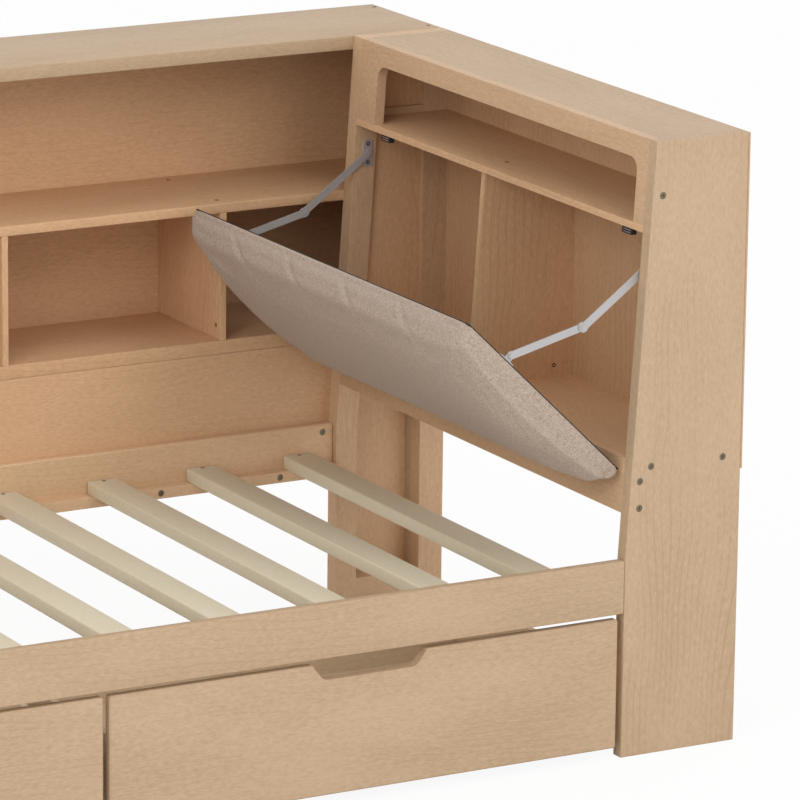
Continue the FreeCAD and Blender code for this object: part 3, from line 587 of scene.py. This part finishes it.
# %% Remesh into even squares and pin the underside
VOXEL = 7.0 * MM
HELD = 9.0 * MM
HELD_SHARE = 0.2
RELAX_FACTOR = 0.5
RELAX_STEPS = 2
pad.data.remesh_voxel_size = VOXEL
alone(pad)
bpy.ops.object.voxel_remesh()
relax = pad.modifiers.new("relax", "SMOOTH")
relax.factor = RELAX_FACTOR
relax.iterations = RELAX_STEPS
apply_modifiers(pad)
pins = pad.vertex_groups.new(name="held to the board")
places = [v.co.copy() for v in pad.data.vertices]
for index, place in enumerate(places):
    place.x = min(max(place.x, PAD_START - HINGE_NOSE), PAD_END + TOP_NOSE)
    place.y = min(max(place.y, PAD_NEAR), PAD_FAR)
    if place.z < UNDERSIDE + VOXEL / 2:
        place.z = UNDERSIDE
    free = min(1.0, max(0.0, (place.z - UNDERSIDE) / HELD - HELD_SHARE))
    pins.add([index], 1.0 - free, "REPLACE")
pad.data.vertices.foreach_set("co", [value for place in places for value in place])
pad.data.update()
print("pad points", len(pad.data.vertices))

# %% Blow it up as cloth
PRESSURE = 4.0
FRAMES = 20
CLOTH_STEPS = 5
CLOTH_MASS = 0.3
LARGEST_SWELL = 6.0 * MM
start_places = [v.co.copy() for v in pad.data.vertices]
cloth = pad.modifiers.new("cover", "CLOTH")
cloth.settings.quality = CLOTH_STEPS
cloth.settings.mass = CLOTH_MASS
cloth.settings.vertex_group_mass = pins.name
cloth.settings.use_pressure = True
cloth.settings.uniform_pressure_force = PRESSURE
cloth.settings.effector_weights.gravity = 0
cloth.point_cache.frame_start = 1
cloth.point_cache.frame_end = FRAMES
for step in range(1, FRAMES + 1):
    bpy.context.scene.frame_set(step)
apply_modifiers(pad)
bpy.context.scene.frame_set(1)
moved = 0.0
for vertex, start in zip(pad.data.vertices, start_places):
    shift = vertex.co - start
    moved = max(moved, shift.length)
    if shift.length > LARGEST_SWELL:
        vertex.co = start + shift.normalized() * LARGEST_SWELL
print("largest swell before the cap", round(moved / MM, 1), "mm")

# %% Round it off and press in the gathers
GATHERS = (0.180, -0.015, -0.210, -0.410)
GATHER_LOW = 12.0 * MM
GATHER_HIGH = 64.0 * MM
GATHER_FROM = 330.0 * MM
GATHER_SWEEP = 75.0 * MM
GATHER_DEPTH = 3.4 * MM
GATHER_WIDTH = 10.0 * MM
RIDGE_SHARE = 0.25
RIDGE_PLACE = 2.2
RIDGE_WIDTH = 1.8
FADE_POWER = 0.7
SWEEP_POWER = 1.6
finer = pad.modifiers.new("finer", "SUBSURF")
finer.levels = 1
finer.render_levels = 1
apply_modifiers(pad)
places = [v.co.copy() for v in pad.data.vertices]
normals = [v.normal.copy() for v in pad.data.vertices]
for index, (place, normal) in enumerate(zip(places, normals)):
    up = (place.z - GATHER_LOW) / (GATHER_HIGH - GATHER_LOW)
    if place.x < GATHER_FROM or not 0 < up < 1:
        continue
    fade = math.sin(math.pi * up) ** FADE_POWER
    press = 0.0
    for gather in GATHERS:
        across = (place.y - gather + GATHER_SWEEP * up ** SWEEP_POWER) / GATHER_WIDTH
        press += RIDGE_SHARE * math.exp(-((across - RIDGE_PLACE) / RIDGE_WIDTH) ** 2) - math.exp(-across ** 2)
    places[index] = place + normal * GATHER_DEPTH * fade * press
pad.data.vertices.foreach_set("co", [value for place in places for value in place])
pad.data.transform(FLAP)
pad.data.update()
alone(pad)
bpy.ops.object.shade_smooth()
print("cushion", len(pad.data.polygons), "faces")

# %% [markdown]
# ## The heathered cover
# The cover is a coarse oatmeal linen: pale threads over and under each other, with fine darker flecks and a few
# uneven slubs. Two sets of stretched noise stand for the crossing threads, a third drops the flecks, and a slower
# one makes the slubs. The pattern is turned with the flap, so the threads run along its edges.

# %% Linen group
THREAD = {"scale": 520.0, "detail": 3.0, "roughness": 0.65}
DARK_FLECK = {"stretch": (0.7, 1.0, 0.8), "scale": 660.0, "detail": 3.0, "roughness": 0.65}
SLUB = {"stretch": (0.5, 1.0, 1.0), "scale": 210.0, "detail": 3.0, "roughness": 0.65}
ALONG_FLAP = (0.35, 1.0, 1.0)
ACROSS_FLAP = (1.0, 0.35, 1.0)
FLECK_ENDS = (0.46, 0.82)
THREAD_ENDS, THREAD_SHARE = (0.42, 0.74), (0.0, 0.42)
SLUB_ENDS, SLUB_SHARE = (0.3, 0.7), (-0.11, 0.11)


def linen_group():
    """Colour and height of a plain weave with dark flecks and slubs."""
    tree, inlet, outlet = new_group(
        "heathered linen",
        [("Vector", "NodeSocketVector", None), ("Pale", "NodeSocketColor", (0.5, 0.45, 0.4, 1)),
         ("Dark", "NodeSocketColor", (0.2, 0.18, 0.16, 1))],
        [("Color", "NodeSocketColor"), ("Height", "NodeSocketFloat")])
    place = inlet.outputs["Vector"]
    crossing = reckon(tree, "MAXIMUM", noise(tree, place, stretch=ALONG_FLAP, **THREAD),
                      noise(tree, place, stretch=ACROSS_FLAP, **THREAD))
    flecks = ranged(tree, noise(tree, place, **DARK_FLECK), FLECK_ENDS)
    slubs = ranged(tree, noise(tree, place, **SLUB), SLUB_ENDS, SLUB_SHARE)
    flecked = reckon(tree, "ADD", flecks, ranged(tree, crossing, THREAD_ENDS, THREAD_SHARE), use_clamp=True)
    uneven = reckon(tree, "ADD", slubs, flecked, use_clamp=True)
    color = blended(tree, uneven, inlet.outputs["Pale"], inlet.outputs["Dark"])
    join(tree, (color, outlet.inputs["Color"]), (crossing, outlet.inputs["Height"]))
    return tree


LINEN = linen_group()
print("linen group with", len(LINEN.nodes), "nodes")

# %% Cover the cushion
LINEN_PALE = (0.515, 0.412, 0.335, 1)
LINEN_DARK = (0.190, 0.140, 0.112, 1)
LINEN_BUMP = (0.35, 0.8 * MM)
linen, tree, shader = new_material("oatmeal linen", **{"Roughness": 0.92, "Specular IOR Level": 0.15,
                                                       "Sheen Weight": 0.12, "Sheen Roughness": 0.5})
coat(tree, shader, LINEN, object_place(tree, (0, FLAP_ANGLE, 0)), LINEN_BUMP, Pale=LINEN_PALE, Dark=LINEN_DARK)
dress(pad, linen)
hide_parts("flap_cushion")
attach(pad, "flap")
print("cover ready")

# %% [markdown]
# ## Small screws
# Countersunk screws hold each slat end, the shelves over the dividers, the dividers themselves and the stays'
# mounts.
# Their heads are near black, which paints the shade of the holes they sit in. One screw head is modelled: a short
# round bar, its rim rounded, its top inset and sunk for the driver. It is then copied to every place and turned to
# face out of its board. The heads stand a few tenths proud.

# %% One screw head
HEAD_R = 3.8 * MM
HEAD_T = 1.6 * MM
HEAD_SIDES = 20
PROUD = 0.35 * MM
DRIVE_RIM = 1.9 * MM
DRIVE_DRAFT = 0.25 * MM
DRIVE_DEPTH = 0.7 * MM
HEAD_EASED = 0.2 * MM
SMALL_STEPS = 2
FACING_UP = 0.9
bpy.ops.object.select_all(action="DESELECT")
bpy.ops.mesh.primitive_cylinder_add(vertices=HEAD_SIDES, radius=HEAD_R, depth=HEAD_T,
                                    location=(0, 0, PROUD - HEAD_T / 2))
screw = settle(bpy.context.object)
bpy.ops.object.mode_set(mode="EDIT")
bpy.ops.mesh.select_mode(type="FACE")
bpy.ops.mesh.select_all(action="DESELECT")
bpy.ops.object.mode_set(mode="OBJECT")
for face in screw.data.polygons:
    face.select = face.normal.z > FACING_UP
bpy.ops.object.mode_set(mode="EDIT")
bpy.ops.mesh.inset(thickness=DRIVE_RIM, depth=0)
bpy.ops.mesh.inset(thickness=DRIVE_DRAFT, depth=-DRIVE_DEPTH)
bpy.ops.object.mode_set(mode="OBJECT")
bevel(screw, HEAD_EASED, SMALL_STEPS)
head_top = max(v.co.z for v in screw.data.vertices)
print("screw head", len(screw.data.polygons), "faces, top at", round(head_top / MM, 2))

# %% Screws in the slats, the shelf and its dividers
SLAT_SCREW_IN = 9.0 * MM
SHELF_SCREW_IN = 28.0 * MM
DIVIDER_SCREW_IN = 17.0 * MM
DIVIDER_SCREW_LEVEL = 25.0 * MM
DIVIDER_COUNT = 4
DIVIDER_HALF = 6.0 * MM
UP = Vector((0, 0, 1))
FOOTWARDS = Vector((-1, 0, 0))
screw_places = []
for node in SLATS:
    low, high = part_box(node)
    middle = (low.x + high.x) / 2
    for y in (low.y + SLAT_SCREW_IN, high.y - SLAT_SCREW_IN):
        screw_places.append((Vector((middle, y, high.z)), UP))

shelf_low, shelf_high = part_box("case_middle_shelf")
row_low, row_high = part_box("case_dividers")
for number in range(DIVIDER_COUNT):
    share = number / (DIVIDER_COUNT - 1)
    x = row_low.x + DIVIDER_HALF + share * (row_high.x - row_low.x - 2 * DIVIDER_HALF)
    for y in (shelf_low.y + SHELF_SCREW_IN, shelf_high.y - SHELF_SCREW_IN):
        screw_places.append((Vector((x, y, shelf_high.z)), UP))
    for z in (row_low.z + DIVIDER_SCREW_LEVEL, row_high.z - DIVIDER_SCREW_LEVEL):
        screw_places.append((Vector((x - DIVIDER_HALF, row_low.y + DIVIDER_SCREW_IN, z)), FOOTWARDS))
print("screws so far", len(screw_places))

# %% Screws in the top, the headboard and the stays' mounts
TOP_SCREW_IN = 12.0 * MM
HEAD_SHELF_SCREW_X = 945.6 * MM
HEAD_DIVIDER_SCREW_X = 1044.0 * MM
HEAD_DIVIDER_SCREW_Z = 533.8 * MM
MOUNT_T = 2.5 * MM
MOUNT_SCREW_IN = 7.0 * MM
FRONTWARDS = Vector((0, -1, 0))
top_low, top_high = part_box("case_top")
for x in (top_low.x + TOP_SCREW_IN, top_high.x - TOP_SCREW_IN):
    for y in (top_low.y + SHELF_SCREW_IN, top_high.y - SHELF_SCREW_IN):
        screw_places.append((Vector((x, y, top_high.z)), UP))

head_low, head_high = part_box("head_divider")
head_shelf_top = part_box("head_shelf")[1].z
screw_places.append((Vector((HEAD_SHELF_SCREW_X, (head_low.y + head_high.y) / 2, head_shelf_top)), UP))
screw_places.append((Vector((HEAD_DIVIDER_SCREW_X, head_low.y, HEAD_DIVIDER_SCREW_Z)), FRONTWARDS))

mount_low, mount_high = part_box("stay_mounts")
mount_x = (mount_low.x + mount_high.x) / 2
for z in (mount_low.z + MOUNT_SCREW_IN, mount_high.z - MOUNT_SCREW_IN):
    screw_places.append((Vector((mount_x, mount_high.y - MOUNT_T, z)), FRONTWARDS))
    screw_places.append((Vector((mount_x, mount_low.y + MOUNT_T, z)), -FRONTWARDS))
print("screws", len(screw_places))

# %% Copy the screws to their places
copies = []
for place, facing in screw_places:
    copy = screw.copy()
    copy.data = screw.data.copy()
    copy.data.transform(Matrix.Translation(place) @ UP.rotation_difference(facing).to_matrix().to_4x4())
    bpy.context.scene.collection.objects.link(copy)
    copies.append(copy)
bpy.data.objects.remove(screw)
screws = dress(together(copies, "small_screws"), SCREW_HOLE_SHADE)
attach(screws, "frame")
print("small screws", len(screws.data.polygons), "faces")

# %% [markdown]
# ## Pole strips of the catches
# A magnetic catch shows two bright steel strips along its black case, which close on to the flap's strike plate.
# Each strip is a thin bar with a rounded edge, let into the front of the case.

# %% Pole strips
STRIP_LENGTH = 22.0 * MM
STRIP_T = 1.4 * MM
STRIP_PROUD = 0.25 * MM
STRIP_DEPTH = 4.0 * MM
STRIP_EASED = 0.2 * MM
STRIP_LEVELS = (0.3, 0.7)
CATCH_LENGTH = 30.0 * MM
LEAN_RUN = 45.0 * MM
LEAN_RISE = 705.0 * MM
LEAN = LEAN_RUN / LEAN_RISE
catch_low, catch_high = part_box("head_catches")
strips = []
for y in (catch_low.y + CATCH_LENGTH / 2, catch_high.y - CATCH_LENGTH / 2):
    for share in STRIP_LEVELS:
        z = catch_low.z + share * (catch_high.z - catch_low.z)
        face_x = catch_low.x + LEAN * (z - catch_low.z)
        low = Vector((face_x - STRIP_PROUD, y - STRIP_LENGTH / 2, z - STRIP_T / 2))
        strip = start_box(low, low + Vector((STRIP_DEPTH, STRIP_LENGTH, STRIP_T)))
        strips.append(bevel(strip, STRIP_EASED, SMALL_STEPS))
poles = dress(together(strips, "catch_poles"), HINGE_METAL)
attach(poles, "frame")
print("pole strips", len(strips))

# %% [markdown]
# ## Light and floor
# A photo studio for furniture is a bright room: light comes from all round, a little more from above and from the
# front. The world gives the even part. Two broad lamps add a soft direction, so that tops and fronts part from each
# other. To the camera the floor and the world are white, and the floor still takes a faint shadow.

# %% The room's light
WORLD_LIGHT = 0.90
WHITE = (1, 1, 1, 1)
world = bpy.data.worlds.new("studio")
bpy.context.scene.world = world
world.use_nodes = True
tree = world.node_tree
tree.nodes.clear()
rays = add(tree, "ShaderNodeLightPath").outputs
seen = reckon(tree, "MAXIMUM", rays["Is Camera Ray"], rays["Is Glossy Ray"])
seen = reckon(tree, "MAXIMUM", seen, rays["Is Transmission Ray"])
room = add(tree, "ShaderNodeBackground", Color=WHITE, Strength=WORLD_LIGHT)
backdrop = add(tree, "ShaderNodeBackground", Color=WHITE, Strength=1.0)
choose = add(tree, "ShaderNodeMixShader")
out = add(tree, "ShaderNodeOutputWorld")
join(tree, (seen, choose.inputs[0]), (room.outputs[0], choose.inputs[1]), (backdrop.outputs[0], choose.inputs[2]),
     (choose.outputs[0], out.inputs["Surface"]))
print("room light", WORLD_LIGHT)


# %% Two broad lamps
def lamp(name, place, target, size, power):
    """A round soft lamp at a place, turned to a target, with its power in watts."""
    data = bpy.data.lights.new(name, "AREA")
    data.shape = "DISK"
    data.size = size
    data.energy = power
    light = bpy.data.objects.new(name, data)
    light.location = place
    light.rotation_euler = (Vector(target) - Vector(place)).to_track_quat("-Z", "Y").to_euler()
    bpy.context.scene.collection.objects.link(light)
    return light


LAMP_SIZE = 3.0
KEY_PLACE, KEY_AIM, KEY_POWER = (1.6, -5.0, 4.2), (0.3, 0, 0.5), 58
FILL_PLACE, FILL_AIM, FILL_POWER = (-4.0, -3.6, 3.4), (0.5, 0, 0.6), 78
lamp("key", KEY_PLACE, KEY_AIM, LAMP_SIZE, KEY_POWER)
lamp("fill", FILL_PLACE, FILL_AIM, LAMP_SIZE, FILL_POWER)
print("lamps", KEY_POWER, "and", FILL_POWER, "watts")

# %% The floor
FLOOR_SIZE = 30
FLOOR_DROP = 0.5 * MM
FLOOR_COLOR = (0.9, 0.9, 0.9, 1)
FLOOR_GLOW = 0.92
bpy.ops.object.select_all(action="DESELECT")
bpy.ops.mesh.primitive_plane_add(size=FLOOR_SIZE, location=(0, 0, -FLOOR_DROP))
floor = settle(bpy.context.object, "floor")
floor_white, tree, shader = new_material("pale floor", **{"Roughness": 0.9, "Base Color": FLOOR_COLOR})
glow = add(tree, "ShaderNodeEmission", Color=WHITE, Strength=1.0)
rays = add(tree, "ShaderNodeLightPath").outputs
choose = add(tree, "ShaderNodeMixShader")
join(tree, (reckon(tree, "MULTIPLY", rays["Is Camera Ray"], FLOOR_GLOW), choose.inputs[0]),
     (shader.outputs[0], choose.inputs[1]), (glow.outputs[0], choose.inputs[2]),
     (choose.outputs[0], tree.nodes["Material Output"].inputs["Surface"]))
dress(floor, floor_white)
bpy.context.scene.view_settings.view_transform = "Standard"
print("light and floor ready")
